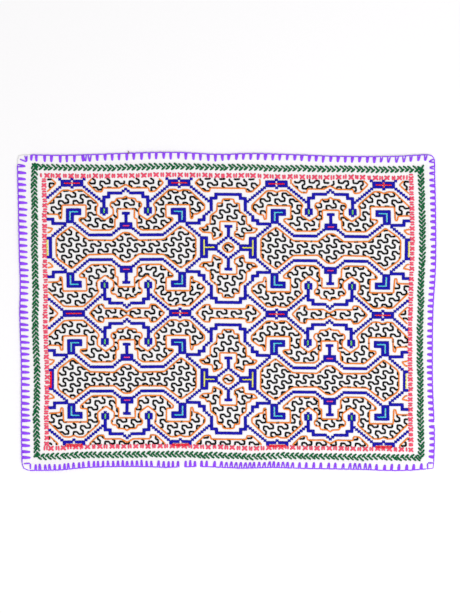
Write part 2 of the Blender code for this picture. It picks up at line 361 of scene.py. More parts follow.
# Threads and cloth, as sRGB hex
COTTON_HEX = "#FCFAFB"
THREAD_HEX = {
    "navy": "#1510AE",
    "orange": "#FF9036",
    "black": "#0A0A0A",
    "green": "#0B683A",
    "pink": "#FF5A78",
    "purple": "#9A4CFF",
    "red": "#FF0C2C",
    "turquoise": "#50DCF4",
    "yellow": "#FFFF58",
    "leaf_green": "#58E066",
    "magenta": "#FF3C9A",
    "brown": "#8A6A66",
}
FLOOR_HEX = "#FBFAFB"
THREAD_WIDTHS_MM = {
    # use: (colour of the thread, its width on the cloth)
    "cross": ("navy", 2.7),
    "outline": ("orange", 2.5),
    "meander": ("black", 3.0),
    "fill": ("bright", 1.6),
    "border": ("green and pink", 3.1),
    "edging": ("purple", 2.2),
}
WIDTH_LIMITS_MM = (0.3, 4.0)
STRANDS_ROUND = 6.0
TWIST_MM = 3.2

# How a strand of thread is drawn: where its rings lie along it, and how wide it is there
RING_PLACES = (0.0, 0.14, 0.5, 0.86, 1.0)
RING_WIDTHS = (0.0, 0.82, 1.0, 0.82, 0.0)
STRAND_SIDES = 5
STRAND_WIDTH_SPREAD = 0.05
SINK_MM = 0.55
EDGE_REACH_MM = 0.9
EDGE_SEARCH_MM = 25.0
EDGE_LINE_DEPTH_MM = 0.35
EDGE_LINE_INSET_MM = 0.3
EDGE_LINE_OVERLAP_MM = 0.8
EDGE_LINE_BAND_MM = 20.0
EDGE_HEIGHT_INSET_MM = 3.0
KNOT_SPACING_MM = 2.0
MEANDER_REACH_MM = 0.8
# Navy crosses: their size as a share of a count, and the columns at which they are cut into pieces
CROSS_SHARES = (1.32, 1.36)
NAVY_PIECES = (
    ("navy_crosses_left", -100.0, -25.0),
    ("navy_crosses_middle", -25.0, 25.0),
    ("navy_crosses_right", 25.0, 100.0),
)
CROSS_WOBBLE_MM = 0.1
CROSS_SEED = 20
FILL_SEED = 50
BRIGHT_THREADS = ("brown", "leaf_green", "magenta", "red", "turquoise", "yellow")
PIECES = {
    # piece: (thread, slot, use that its width is set by, thickness_mm, seed)
    "navy_crosses_left": ("navy", "navy_thread", "cross", 0.8, 30),
    "navy_crosses_middle": ("navy", "navy_thread", "cross", 0.8, 31),
    "navy_crosses_right": ("navy", "navy_thread", "cross", 0.8, 32),
    "orange_outlines": ("orange", "orange_thread", "outline", 0.9, 40),
    "black_meander": ("black", "black_thread", "meander", 0.9, 41),
    "green_chevrons": ("green", "green_thread", "border", 1.0, 42),
    "pink_crosses_and_bars": ("pink", "pink_thread", "border", 0.9, 43),
    "purple_edging": ("purple", "purple_thread", "edging", 1.0, 44),
    **{
        f"{thread}_fills": (thread, "accent_threads", "fill", 0.7, 60 + number)
        for number, thread in enumerate(BRIGHT_THREADS)
    },
}
# How the strands of each layer lie: the thickness that lifts them, and how far their middles stand off
LAYERS = {
    # layer: (thickness_mm, lift_mm)
    "cross_under": (0.8, 0.1),
    "cross_upper": (0.8, 0.55),
    "outline": (0.9, 0.15),
    "meander": (0.9, 0.1),
    "fill": (0.8, 1.0),
    "chevron_inner": (1.0, 0.2),
    "chevron_outer": (1.0, 0.6),
    "pink_under": (0.9, 0.2),
    "pink_upper": (0.9, 0.6),
    "pink_bar": (0.9, 0.3),
    "edging_leg": (1.0, 0.15),
}
OUTLINE_STITCH_MM = 3.0
OUTLINE_OVERLAP_MM = 1.2
OUTLINE_SLANT_MM = 0.22
ZIGZAG_STEP_MM = 2.4
ZIGZAG_SWING_MM = 0.55
ZIGZAG_WOBBLE_MM = 0.1
ZIGZAG_REACH_MM = 0.5
SEED = 11

# Camera: the frame's middle on the cloth, its height there, the lens, and the height of the cloth's face
FRAME_MIDDLE_MM = (4.9, 7.2)
FRAME_HEIGHT_MM = 886.3
LENS_MM = 85.0
SENSOR_MM = 36.0
FACE_HEIGHT_MM = 1.5

# Stage, in metres
FLOOR_REACH = 4.0
FLOOR_HEIGHT = -0.0003
WORLD_STRENGTH = 0.78
LAMP_WATTS = 36.0
LAMP_SIZE = 1.6
LAMP_PLACE = (1.2, -1.3, 2.4)

made = {}


# Small tools

def placed(name, data):
    """A new object in the scene, made from a mesh, a lamp or a camera."""
    thing = bpy.data.objects.new(name, data)
    bpy.context.scene.collection.objects.link(thing)
    return thing


def linear(hex_code):
    """An sRGB hex colour as the linear red, green and blue that shaders take."""
    channels = [int(hex_code[place:place + 2], 16) / 255.0 for place in (1, 3, 5)]
    return tuple(
        value / 12.92 if value <= 0.04045 else ((value + 0.055) / 1.055) ** 2.4 for value in channels
    )


def table_value(table, places):
    """Straight-line values between the rows of a two-column table."""
    rows = np.array(table)
    return np.interp(places, rows[:, 0], rows[:, 1])


def counts_to_mm(counts):
    """The places on the cloth, in mm, of an array of (column, row) counts."""
    counts = np.asarray(counts, float)
    column = counts[..., 0]
    row = counts[..., 1]
    share = np.clip((column - FIELD_COLUMNS[0]) / (FIELD_COLUMNS[1] - FIELD_COLUMNS[0]), 0.0, 1.0)
    shift = table_value(LEFT_SHIFT, row) * (1.0 - share) + table_value(RIGHT_SHIFT, row) * share
    x = PATTERN_MIDDLE_MM[0] + column * COLUMN_MM + shift
    y = PATTERN_MIDDLE_MM[1] - row * ROW_MM - table_value(ROW_DROP, column)
    y = y - table_value(ROW_DRIFT, row)
    return np.stack([x, y], axis=-1)


def inside_field(counts, margin=0.0):
    column = counts[..., 0]
    row = counts[..., 1]
    return (
        (column >= FIELD_COLUMNS[0] - margin)
        & (column <= FIELD_COLUMNS[1] + margin)
        & (row >= FIELD_ROWS[0] - margin)
        & (row <= FIELD_ROWS[1] + margin)
    )


# Surface of the solid, read from the frame

@functools.cache
def solid_tree():
    """A search tree of the solid's faces."""
    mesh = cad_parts[SHEET_NODE].data
    corners = [vertex.co.copy() for vertex in mesh.vertices]
    return BVHTree.FromPolygons(corners, [tuple(face.vertices) for face in mesh.polygons])


def height_from(x_mm, y_mm, from_z):
    """Height in mm of the solid's face that a ray meets from above or below, or None beside it."""
    ray = Vector((0.0, 0.0, -math.copysign(1.0, from_z)))
    hit = solid_tree().ray_cast(Vector((x_mm * MM, y_mm * MM, from_z)), ray)
    return None if hit[0] is None else hit[0].z / MM


def upper_face(x_mm, y_mm):
    return height_from(x_mm, y_mm, 0.1)


def lower_face(x_mm, y_mm):
    return height_from(x_mm, y_mm, -0.1)


def rim_point(start_mm, direction, reach_mm=RIM_REACH_MM):
    """Where a straight line from a place on the cloth, in plan, leaves the cloth."""
    near = 0.0
    far = reach_mm
    for _ in range(RIM_HALVINGS):
        middle = (near + far) / 2.0
        place = (start_mm[0] + direction[0] * middle, start_mm[1] + direction[1] * middle)
        if upper_face(*place) is None:
            far = middle
        else:
            near = middle
    return (start_mm[0] + direction[0] * near, start_mm[1] + direction[1] * near)


@functools.cache
def height_grid():
    """Heights of the stitched face on an even grid: the solid's face, drawn in under the stitches."""
    low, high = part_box(SHEET_NODE)
    xs = np.arange(low[0] / MM - FIELD_MARGIN_MM, high[0] / MM + FIELD_MARGIN_MM, FIELD_GRID_MM)
    ys = np.arange(low[1] / MM - FIELD_MARGIN_MM, high[1] / MM + FIELD_MARGIN_MM, FIELD_GRID_MM)
    heights = np.full((len(ys), len(xs)), np.nan)
    for row, y in enumerate(ys):
        for column, x in enumerate(xs):
            found = upper_face(x, y)
            if found is not None:
                heights[row, column] = found
    heights = np.where(np.isnan(heights), np.nanmin(heights), heights)
    return xs, ys, heights + pucker(xs, ys)


def pucker(xs, ys):
    """How far the thread's pull draws the ground down, in mm: deepest along the stitched lines."""
    density = np.zeros((len(ys), len(xs)))
    for points in stitch_places():
        columns = np.clip(((points[:, 0] - xs[0]) / FIELD_GRID_MM).round().astype(int), 0, len(xs) - 1)
        rows = np.clip(((points[:, 1] - ys[0]) / FIELD_GRID_MM).round().astype(int), 0, len(ys) - 1)
        np.add.at(density, (rows, columns), 1.0)
    density = np.minimum(density, 1.0)
    for _ in range(2):
        for axis in (0, 1):
            density = (np.roll(density, 1, axis) + 2.0 * density + np.roll(density, -1, axis)) / 4.0
    return PUCKER_MM * (PUCKER_REST - density)


def height_at(points_mm):
    """Height in mm of the stitched face at an array of places."""
    xs, ys, heights = height_grid()
    across = np.clip((points_mm[..., 0] - xs[0]) / FIELD_GRID_MM, 0.0, len(xs) - 1.001)
    along = np.clip((points_mm[..., 1] - ys[0]) / FIELD_GRID_MM, 0.0, len(ys) - 1.001)
    column = across.astype(int)
    row = along.astype(int)
    right = across - column
    up = along - row
    lower, upper = (
        heights[line, column] * (1.0 - right) + heights[line, column + 1] * right
        for line in (row, row + 1)
    )
    return lower * (1.0 - up) + upper * up


# The counted pattern

def cell_copies():
    """The mirrored places of the cell: the box's column and row, and the signs of its counts."""
    return [(*box, row, sign) for box in BOX_COLUMNS for row in BOX_ROWS for sign in (-1.0, 1.0)]


def outer_copies():
    """The places of the cell's cut copies, beyond the outer boxes."""
    return [
        (OUTER_BOX_COLUMN * side, side, row, sign)
        for side in (-1.0, 1.0) for row in BOX_ROWS for sign in (-1.0, 1.0)
    ]


def spread_over_cells(counts, places):
    """All the copies of an array of cell counts, as an array of copies."""
    return np.array(
        [
            np.asarray(counts, float) * (column_sign, row_sign) + (box_column, box_row)
            for box_column, column_sign, box_row, row_sign in places
        ]
    )


def counts_on_line(column, row, to_column, to_row):
    """Centres of the crosses of one line: a count apart on a slant, half a count on a straight."""
    across = to_column - column
    down = to_row - row
    slanted = abs(across) > 0.01 and abs(down) > 0.01
    steps = max(abs(across), abs(down)) * (1.0 if slanted else 2.0)
    shares = np.linspace(0.0, 1.0, max(int(round(steps)), 0) + 1)
    return [(column + across * share, row + down * share) for share in shares]


def navy_counts():
    """Every navy cross of the field, once each."""
    lines = [(*ends[0], *ends[1]) for path in NAVY_PATHS for ends in zip(path[:-1], path[1:])]
    cell = np.array([count for line in lines for count in counts_on_line(*line)])
    whole = [cell]
    for mirror in (DUMBBELL_MIRROR, CROSS_MIRROR):
        near = cell[np.abs(cell[:, 0] - mirror) <= MIRROR_REACH]
        whole.append(near * (-1.0, 1.0) + (2.0 * mirror, 0.0))
    copies = (
        *spread_over_cells(np.concatenate(whole), cell_copies()),
        *spread_over_cells(cell[cell[:, 0] > 0.0], outer_copies()),
    )
    every = {tuple(np.round(place * 4.0)): tuple(place) for place in np.concatenate(copies)}
    counts = np.array(sorted(every.values()))
    left_out = np.array(CROSSES_LEFT_OUT)
    kept = (np.abs(counts[:, None] - left_out).max(axis=2) > 0.1).all(axis=1)
    from_box = counts[:, 1] - np.array(BOX_ROWS)[np.abs(counts[:, 1:] - BOX_ROWS).argmin(axis=1)]
    column = np.abs(counts[:, 0])
    upright_column, upright_row = SIDE_STEP_UPRIGHT
    upright = (column > upright_column) & (np.abs(np.abs(from_box) - upright_row) < SIDE_STEP_UPRIGHT_REACH)
    level = (column > SIDE_STEP_COLUMN) & (np.abs(np.abs(from_box) - SIDE_STEP_LEVEL_ROW) < 0.1)
    counts[:, 1] -= np.where(level, np.sign(from_box) * SIDE_STEP_RISE, 0.0)
    counts = np.concatenate([counts[kept & ~upright], np.array(CROSSES_ADDED)])
    return counts[inside_field(counts)]


def closed_outline(name):
    """An outline's loop about its box, as cell counts."""
    column_mirror, row_mirror = OUTLINE_MIRRORS[name]
    loop = np.array(OUTLINE_CHAINS[name])
    loop = np.concatenate([loop, (loop * (-1.0, 1.0) + (2.0 * column_mirror, 0.0))[::-1]])
    if row_mirror is not None:
        loop = np.concatenate([loop, (loop * (1.0, -1.0) + (0.0, 2.0 * row_mirror))[::-1]])
    apart = np.linalg.norm(loop - np.roll(loop, 1, axis=0), axis=1) > 1e-6
    return loop[apart]


@functools.cache
def outlines():
    """Every outline of the field: its name, and its loop with its corners rounded, in counts."""
    found = {}
    for name in OUTLINE_CHAINS:
        loop = closed_outline(name)
        copies = [run_over_side(copy) for copy in spread_over_cells(loop, cell_copies())]
        if OUTLINE_MIRRORS[name][0] == CROSS_MIRROR:
            copies += list(spread_over_cells(loop, outer_copies()))
        for copy in copies:
            middle = copy.mean(axis=0)
            found[(name, round(middle[0]), round(middle[1]))] = copy
    return {key: rounded_loop(loop) for key, loop in sorted(found.items()) if inside_field(loop).any()}


def run_over_side(loop):
    """A loop whose corners at the field's side are moved out, so that the field's edge cuts it."""
    for old, new in SIDE_BAY_CORNERS:
        for box_column, column_sign, box_row, row_sign in cell_copies():
            if abs(box_column) == OUTER_BOX_COLUMN:
                signs = np.array([column_sign, row_sign])
                box = np.array([box_column, box_row])
                here = np.abs(loop - (box + signs * old)).max(axis=1) < 0.01
                loop[here] = box + signs * new
    return loop


def rounded_loop(loop):
    """A closed loop with each corner turned into a small curve."""
    closed = np.concatenate([loop[-1:], loop, loop[:1]])
    return cornered_path(closed, CORNER_CUT)[1:-1]


def inside_loop(points, loop):
    """Whether each point lies inside a closed loop, by counting the sides crossed to its right."""
    start = loop
    end = np.roll(loop, -1, axis=0)
    rise = end[:, 1] - start[:, 1]
    rise = np.where(np.abs(rise) < 1e-9, 1e-9, rise)
    spans = (start[:, 1] > points[:, 1:2]) != (end[:, 1] > points[:, 1:2])
    share = (points[:, 1:2] - start[:, 1]) / rise
    crossing = start[:, 0] + share * (end[:, 0] - start[:, 0])
    return (np.sum(spans & (crossing > points[:, 0:1]), axis=1) % 2) == 1


def cornered_path(points, cut):
    """An open path with each corner turned into a small curve."""
    path = [points[:1]]
    for before, corner, after in zip(points[:-2], points[1:-1], points[2:]):
        path.append(corner_curve(before, corner, after, cut))
    path.append(points[-1:])
    return np.concatenate(path)


def corner_curve(before, corner, after, cut):
    """Four points that turn a corner in a small curve."""
    back = before - corner
    ahead = after - corner
    start = corner + back * min(cut / np.linalg.norm(back), CORNER_SHARE)
    end = corner + ahead * min(cut / np.linalg.norm(ahead), CORNER_SHARE)
    shares = np.array([0.0, 0.33, 0.67, 1.0])[:, None]
    return start * (1.0 - shares) ** 2 + corner * 2.0 * shares * (1.0 - shares) + end * shares**2


def runs_of(points, keep):
    """The unbroken stretches of a path that are kept."""
    runs = []
    start = None
    for index, kept in enumerate(keep):
        if kept and start is None:
            start = index
        if not kept and start is not None:
            runs.append(points[start:index])
            start = None
    if start is not None:
        runs.append(points[start:])
    return runs


def outline_runs():
    """The orange outlines as paths in mm, cut where the field ends."""
    runs = [counts_to_mm(densified(np.array(line), 0.5)) for line in OUTLINES_ADDED]
    for loop in outlines().values():
        dense = densified(np.concatenate([loop, loop[:1]]), 0.1)
        keep = inside_field(dense)
        for from_column, from_row, to_column, to_row in OUTLINE_GAPS:
            low = (dense > (from_column, from_row)).all(axis=1)
            high = (dense < (to_column, to_row)).all(axis=1)
            keep &= ~(low & high)
        if keep.all():
            runs.append(counts_to_mm(np.concatenate([loop, loop[:1]])))
            continue
        first_out = int(np.argmin(keep))
        dense = np.roll(dense[:-1], -first_out, axis=0)
        keep = np.roll(keep[:-1], -first_out)
        runs += [counts_to_mm(run) for run in runs_of(dense, keep) if len(run) > 8]
    return runs


def densified(path, spacing):
    """A path with points added so that none are further apart than the spacing."""
    points = [path[:1]]
    for start, end in zip(path[:-1], path[1:]):
        count = max(1, int(math.ceil(np.linalg.norm(end - start) / spacing)))
        points.append(start + (end - start) * (np.arange(1, count + 1) / count)[:, None])
    return np.concatenate(points)


@functools.cache
def meander_stitches():
    """The black fill as back stitches in mm, by their two ends: slanting lines, cut at each outline."""
    found = [
        meander_in(loop, *start)
        for (name, column, row), loop in outlines().items()
        for start in meander_starts(name, column, row)
    ]
    return [counts_to_mm(np.concatenate(ends)) for ends in zip(*found)]


def meander_starts(name, column, row):
    """What the table of starts says of an outline."""
    here = [
        start[2:] for start in MEANDER_STARTS[name]
        if abs(start[0] - column) < START_REACH[0] and abs(start[1] - row) < START_REACH[1]
    ]
    if not here and not (name == "bell" and abs(column) > OUTER_BOX_COLUMN):
        raise RuntimeError(f"No meander start for {name} at {column}, {row}")
    return here


def meander_in(loop, upright_column, upright_row, from_column=-99.0, to_column=99.0, mirrored=False):
    """The meander's stitches inside one outline, between two columns, in counts."""
    lean = np.array([-1.0 if mirrored else 1.0, 1.0])
    step = np.array(MEANDER_STEP) * lean
    shift = np.array(MEANDER_SHIFT) * lean
    origin = np.array([upright_column, upright_row - UPRIGHT_MIDDLE])
    low = np.maximum(loop.min(axis=0), (max(from_column, FIELD_COLUMNS[0]), FIELD_ROWS[0]))
    high = np.minimum(loop.max(axis=0), (min(to_column, FIELD_COLUMNS[1]), FIELD_ROWS[1]))
    first = math.floor((low[1] - origin[1]) / shift[1]) - 2
    last = math.ceil((high[1] - origin[1]) / shift[1]) + 2
    slant = np.concatenate([step + shift * count for count in range(first, last + 1)]) + origin
    slant = densified(slant, MEANDER_STITCH)
    line_low = math.floor((low[0] - slant[:, 0].max()) / MEANDER_LINE_GAP)
    line_high = math.ceil((high[0] - slant[:, 0].min()) / MEANDER_LINE_GAP)
    gaps = np.arange(line_low, line_high + 1) * MEANDER_LINE_GAP
    lines = slant[None] + np.stack([gaps, gaps * 0.0], axis=-1)[:, None]
    starts = lines[:, :-1].reshape(-1, 2)
    ends = lines[:, 1:].reshape(-1, 2)
    return cut_at_outline(starts, ends, loop, from_column, to_column)


def cut_at_outline(starts, ends, loop, from_column, to_column):
    """The parts of straight stitches inside an outline, the field and two columns."""
    shares = np.linspace(0.0, 1.0, 9)
    points = starts[:, None] + (ends - starts)[:, None] * shares[:, None]
    flat = points.reshape(-1, 2)
    inside = inside_loop(flat, loop) & inside_field(flat)
    inside &= (flat[:, 0] > from_column) & (flat[:, 0] <= to_column)
    inside = inside.reshape(len(starts), -1)
    first = inside.argmax(axis=1)
    last = len(shares) - 1 - inside[:, ::-1].argmax(axis=1)
    each = np.arange(len(starts))
    keep = inside.sum(axis=1) > 2
    return points[each, first][keep], points[each, last][keep]


# Stitches as short strands

def path_lengths(path):
    return np.concatenate([[0.0], np.cumsum(np.linalg.norm(np.diff(path, axis=0), axis=1))])


def along_path(spans, along, path):
    """Places on a path, at distances along it."""
    return np.stack([np.interp(spans, along, path[:, axis]) for axis in (0, 1)], axis=-1)


def unit(vectors):
    """Vectors of the same directions, each one long."""
    return vectors / np.maximum(np.linalg.norm(vectors, axis=-1, keepdims=True), 1e-6)


def side_of(chords):
    """Directions to the left of straight lines in plan."""
    chords = unit(chords)
    return np.stack([-chords[:, 1], chords[:, 0]], axis=-1)


def stitches_along(path):
    """Slanting stitches that follow a path in plan, as an array (stitch, ring, xy)."""
    along = path_lengths(path)
    count = max(1, int(round(along[-1] / OUTLINE_STITCH_MM)))
    starts = np.linspace(0.0, along[-1], count + 1)
    rings = np.array(RING_PLACES)
    lengths = (starts[1:] - starts[:-1])[:, None] + OUTLINE_OVERLAP_MM
    spans = starts[:-1, None] - OUTLINE_OVERLAP_MM / 2.0 + rings * lengths
    strands = along_path(np.clip(spans, 0.0, along[-1]), along, path)
    slant = (OUTLINE_SLANT_MM * (2.0 * rings - 1.0))[None, :, None]
    return strands + side_of(strands[:, -1] - strands[:, 0])[:, None, :] * slant


def reached(starts, ends, reach_mm):
    """Straight stitches made longer at both ends."""
    reach = unit(ends - starts) * reach_mm
    return starts - reach, ends + reach


def straight_strands(starts, ends, bow_mm=0.0):
    """Strands from one array of places to another, bowed sideways at the middle."""
    rings = np.array(RING_PLACES)[:, None]
    starts = np.asarray(starts, float)
    chords = np.asarray(ends, float) - starts
    bow = 4.0 * bow_mm * rings * (1.0 - rings)
    return starts[:, None, :] + chords[:, None, :] * rings + side_of(chords)[:, None, :] * bow


def cross_strands(centres, width_mm, height_mm, generator, wobble_mm):
    """The under and upper strands of cross-stitches."""
    half = np.array([width_mm, height_mm]) / 2.0
    rising = np.array([1.0, 1.0]) * half
    falling = np.array([1.0, -1.0]) * half
    shake = generator.normal(0.0, wobble_mm, (4,) + centres.shape)
    under = straight_strands(centres - rising + shake[0], centres + rising + shake[1])
    upper = straight_strands(centres - falling + shake[2], centres + falling + shake[3])
    return under, upper


def bright_lines(thread):
    """The lines of one bright thread, each as its two ends in counts of the whole field."""
    found = [np.reshape(line[1:], (2, 2)) for line in BRIGHT_ADDED if line[0] == thread]
    for line in BRIGHT_LINES:
        if line[0] == thread:
            copies = spread_over_cells(np.reshape(line[1:], (2, 2)), cell_copies())
            found += [copy for copy in copies if inside_field(copy, -0.5).all()]
    return found


def zigzag_strands(lines, generator):
    """Strands that zigzag along straight lines between two counts."""
    starts = []
    ends = []
    for line in lines:
        start, end = counts_to_mm(line)
        length = np.linalg.norm(end - start)
        steps = max(1, int(round(length / ZIGZAG_STEP_MM)))
        across = np.array([start[1] - end[1], end[0] - start[0]]) / length
        wobble = generator.normal(0.0, ZIGZAG_WOBBLE_MM, steps + 1)
        swing = ZIGZAG_SWING_MM * (-1.0) ** np.arange(steps + 1) + wobble
        points = start + (end - start) * (np.arange(steps + 1) / steps)[:, None] + across * swing[:, None]
        starts.append(points[:-1])
        ends.append(points[1:])
    ends = np.concatenate(ends)
    return straight_strands(*reached(np.concatenate(starts), ends, ZIGZAG_REACH_MM))


def laid(strands, layer):
    """Strands in plan, laid on the cloth: their ends dive through it and their middles stand off it."""
    thickness_mm, lift_mm = LAYERS[layer]
    rings = np.array(RING_PLACES)
    stand_off = thickness_mm / 2.0 + lift_mm * 4.0 * rings * (1.0 - rings)
    stand_off = np.where((rings == 0.0) | (rings == 1.0), -SINK_MM, stand_off)
    height = height_at(strands) + stand_off
    return np.concatenate([strands, height[..., None]], axis=-1)


def stitch_places():
    """Places of all the stitches of the field and its borders, for the pull on the ground."""
    places = [counts_to_mm(navy_counts())]
    places += outline_runs()
    places += meander_stitches()
    places += [strands.reshape(-1, 2) for strands in (*chevron_strands(), *pink_strands())]
    return places


def strands_object(name, groups, width_mm, thickness_mm, material, generator, shares=None):
    """One mesh of many strands, each a closed spindle of thread with its own tone. Each group of
    strands may have a share of the width."""
    centres = np.concatenate(groups) * MM
    count, rings, _ = centres.shape
    sides = STRAND_SIDES
    tangent = unit(np.gradient(centres, axis=1))
    side = unit(np.cross(tangent, (0.0, 0.0, 1.0)))
    normal = np.cross(side, tangent)
    widths = generator.normal(1.0, STRAND_WIDTH_SPREAD, count)[:, None, None] * width_mm * MM / 2.0
    if shares is not None:
        widths *= np.repeat(shares, [len(group) for group in groups])[:, None, None]
    depths = np.full((count, 1, 1), thickness_mm * MM / 2.0)
    scale = np.array(RING_WIDTHS)[None, :, None]
    angles = np.arange(sides) * 2.0 * math.pi / sides + math.pi / 2.0
    inner = slice(1, rings - 1)
    body = centres[:, inner, None, :] + (
        side[:, inner, None, :] * (widths * scale)[:, inner, :, None] * np.cos(angles)[:, None]
        + normal[:, inner, None, :] * (depths * scale)[:, inner, :, None] * np.sin(angles)[:, None]
    )
    ring_count = rings - 2
    per_strand = ring_count * sides + 2
    vertices = np.empty((count, per_strand, 3))
    vertices[:, :ring_count * sides] = body.reshape(count, -1, 3)
    vertices[:, -2] = centres[:, 0]
    vertices[:, -1] = centres[:, -1]

    corner_sets, corner_uvs = strand_faces(ring_count, sides)
    length = np.linalg.norm(np.diff(centres, axis=1), axis=2).sum(axis=1) / MM
    mesh = bpy.data.meshes.new(name)
    offsets = np.arange(count)[:, None] * per_strand
    faces = [offsets + np.array(corners)[None, :] for corners in corner_sets]
    write_mesh(mesh, vertices.reshape(-1, 3), faces)
    write_uvs(mesh, corner_uvs, length)
    tone = mesh.attributes.new("stitch_tone", "FLOAT", "POINT")
    tone.data.foreach_set("value", np.repeat(generator.random(count), per_strand))
    mesh.materials.append(material)
    mesh.shade_smooth()
    return placed(name, mesh)


def strand_faces(ring_count, sides):
    """Faces of one strand as corner numbers, and each corner's (share along, share around)."""
    places = RING_PLACES[1:-1]
    first_tip = ring_count * sides
    last = ring_count - 1

    def corner(ring, turn):
        return ring * sides + turn % sides, (places[ring], turn / sides)

    shapes = [
        (corner(ring, turn), corner(ring + 1, turn), corner(ring + 1, turn + 1), corner(ring, turn + 1))
        for ring in range(last) for turn in range(sides)
    ]
    for turn in range(sides):
        middle = (turn + 0.5) / sides
        shapes.append(((first_tip, (0.0, middle)), corner(0, turn), corner(0, turn + 1)))
        shapes.append(((first_tip + 1, (1.0, middle)), corner(last, turn + 1), corner(last, turn)))
    return [[[each[part] for each in shape] for shape in shapes] for part in (0, 1)]


def write_mesh(mesh, vertices, faces):
    """Fills a mesh from arrays: one array of corner numbers for each kind of face."""
    sizes = np.concatenate([np.full(len(face), face.shape[1]) for face in faces])
    corners = np.concatenate([face.reshape(-1) for face in faces])
    mesh.vertices.add(len(vertices))
    mesh.vertices.foreach_set("co", vertices.astype(np.float32).reshape(-1))
    mesh.loops.add(len(corners))
    mesh.loops.foreach_set("vertex_index", corners.astype(np.int32))
    mesh.polygons.add(len(sizes))
    starts = np.concatenate([[0], np.cumsum(sizes)[:-1]])
    mesh.polygons.foreach_set("loop_start", starts.astype(np.int32))
    mesh.update(calc_edges=True)
    mesh.validate()


def write_uvs(mesh, corner_uvs, length_mm):
    """Stores the distance along the thread in mm, and the share of the way around it."""
    layer = mesh.uv_layers.new(name="thread")
    values = []
    for uvs in corner_uvs:
        shares = np.array(uvs)
        along = shares[None, :, 0] * length_mm[:, None]
        around = np.broadcast_to(shares[None, :, 1], along.shape)
        values.append(np.stack([along, around], axis=-1).reshape(-1, 2))
    layer.data.foreach_set("uv", np.concatenate(values).astype(np.float32).reshape(-1))


# Border strands, in plan

def border_points(side, half_mm, places):
    """Points of a border's middle line at places along a side, and the side's two directions."""
    which, along, out = BORDER_SIDES[side]
    along = np.array(along)
    out = np.array(out)
    places = np.atleast_1d(np.asarray(places, float))
    line = out * half_mm[which] + np.array(BORDER_MIDDLE_MM) * np.abs(out)
    shift = places[:, None] * np.abs(along) + table_value(BORDER_SWAY[side], places)[:, None] * np.abs(out)
    return line + shift, along, out


@functools.cache
def chevron_strands():
    """The green border: a plait of curved arms that runs clockwise, its two sides half a step apart."""
    generator = np.random.default_rng(SEED + 1)
    outer_arms = []
    inner_arms = []
    for side, start, end, pitch in CHEVRON_RUNS:
        count = int(round(abs(end - start) / pitch)) + 1
        points, along, out = border_points(side, GREEN_HALF_MM, np.linspace(start, end, count))
        points = points + generator.normal(0.0, CHEVRON_WOBBLE_MM, points.shape)
        reach = CHEVRON_HALF_MM * generator.normal(1.0, CHEVRON_HALF_SPREAD, (2, count))[..., None]
        back = CHEVRON_BACK_MM * generator.normal(1.0, CHEVRON_BACK_SPREAD, (2, count))[..., None]
        tail = points + out * reach[0] - along * back[0]
        (past_mm, along_mm), (inner_past_mm, inner_along_mm) = CHEVRON_TIPS_MM
        tip = points - out * past_mm + along * along_mm
        outer_arms.append(straight_strands(tail, tip, CHEVRON_BOW_MM))
        points = points + along * pitch * CHEVRON_STAGGER
        tail = points - out * reach[1] - along * back[1]
        tip = points + out * inner_past_mm + along * inner_along_mm
        inner_arms.append(straight_strands(tail, tip, -CHEVRON_BOW_MM))
    return [np.concatenate(outer_arms), np.concatenate(inner_arms)]


@functools.cache
def pink_strands():
    """The pink border: under strands and upper strands of its crosses, and the bars between them."""
    generator = np.random.default_rng(SEED + 2)
    under = []
    upper = []
    upright = []
    crosses = [(side, np.linspace(first, last, count)) for side, first, last, count in PINK_RUNS]
    bars = [(side, np.array([place])) for side, place in PINK_BARS_ALONE]
    for side, places in crosses:
        middles = (places[:-1] + places[1:]) / 2.0
        bars += [(side, middles - PINK_BAR_GAP_MM / 2.0), (side, middles + PINK_BAR_GAP_MM / 2.0)]
    crosses += [(side, np.array([place])) for side, place in PINK_CROSSES_ALONE]
    for side, places in crosses:
        shaken = places + generator.normal(0.0, PINK_WOBBLE_MM, len(places))
        points, along, _ = border_points(side, PINK_HALF_MM, shaken)
        width, height = PINK_CROSS_MM if along[0] else PINK_CROSS_UPRIGHT_MM
        rising, falling = cross_strands(points, width, height, generator, PINK_CROSS_WOBBLE_MM)
        under.append(rising)
        upper.append(falling)
    for side, places in bars:
        points, along, out = border_points(side, PINK_HALF_MM, places)
        shake = generator.normal(0.0, PINK_WOBBLE_MM, (2,) + points.shape)
        half = out * PINK_BAR_MM / 2.0
        upright.append(straight_strands(points + half + shake[0], points - half + shake[1]))
    return [np.concatenate(strands) for strands in (under, upper, upright)]


# Materials

def settle(node, **settings):
    """Sets a node's own properties, or else its inputs, by their names."""
    for name, value in settings.items():
        if hasattr(node, name):
            setattr(node, name, value)
        else:
            node.inputs[name.replace("_", " ")].default_value = value
    return node


def add_node(nodes, kind, links=(), **settings):
    """Adds a shader node with its settings, and links its inputs to other nodes' outputs."""
    node = settle(nodes.new(kind), **settings)
    for socket, source in links:
        nodes.id_data.links.new(source, node.inputs[socket])
    return node


def math_node(nodes, operation, source, other=None):
    """Adds a math node and gives its output. The other input is a number or a node's output."""
    node = add_node(nodes, "ShaderNodeMath", [(0, source)], operation=operation)
    if isinstance(other, float):
        node.inputs[1].default_value = other
    elif other is not None:
        nodes.id_data.links.new(other, node.inputs[1])
    return node.outputs[0]


def mix_node(nodes, factor, colour, darkening):
    """Adds a mix of a darkened colour, at factor 0, and the colour itself, and gives its output."""
    darker = (*[value * darkening for value in colour], 1.0)
    mix = add_node(nodes, "ShaderNodeMix", data_type="RGBA", A=darker, B=(*colour, 1.0))
    nodes.id_data.links.new(factor, mix.inputs["Factor"])
    return mix.outputs["Result"]


